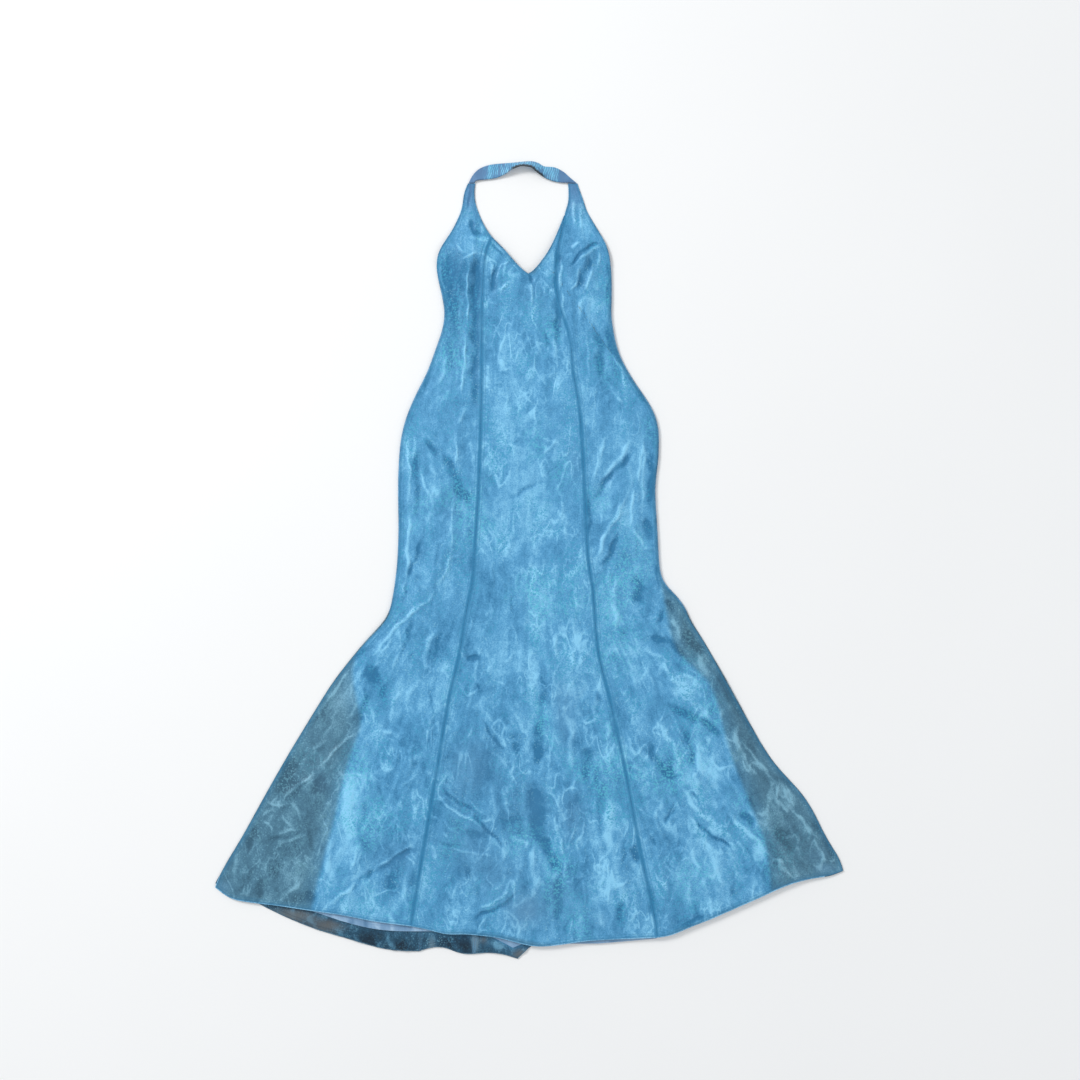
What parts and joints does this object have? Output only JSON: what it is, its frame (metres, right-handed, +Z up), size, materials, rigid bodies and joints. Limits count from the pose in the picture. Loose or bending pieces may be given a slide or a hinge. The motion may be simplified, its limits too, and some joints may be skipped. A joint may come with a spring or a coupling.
{
  "type": "prom dress",
  "caption": "Halter-neck prom dress laid flat: V neckline, princess seams, flared mermaid skirt, glitter organza over a satin lining, gathered neck band.",
  "frame": {"origin": "centre of the dress's outline, on the surface that it lies on", "axes": "+Y from the hem to the neck band, +X across the dress to the right as seen from above, +Z up"},
  "size_m": [1.1906, 1.5133, 0.0198],
  "materials": {
    "organza_front": "crinkled aqua organza with glitter",
    "organza_back": "sheer dark teal organza",
    "satin_lining": "pale blue satin",
    "organza_band": "gathered organza over elastic"
  },
  "bodies": {
    "root": {"centre_front": "organza_front", "side_front_left": "organza_front", "side_front_right": "organza_front", "side_back_left": "organza_back", "back_left": "organza_back", "back_right": "organza_back", "side_back_right": "organza_back", "lining_front": "satin_lining", "lining_back": "satin_lining", "neck_band": "organza_band"}
  },
  "joints": []
}
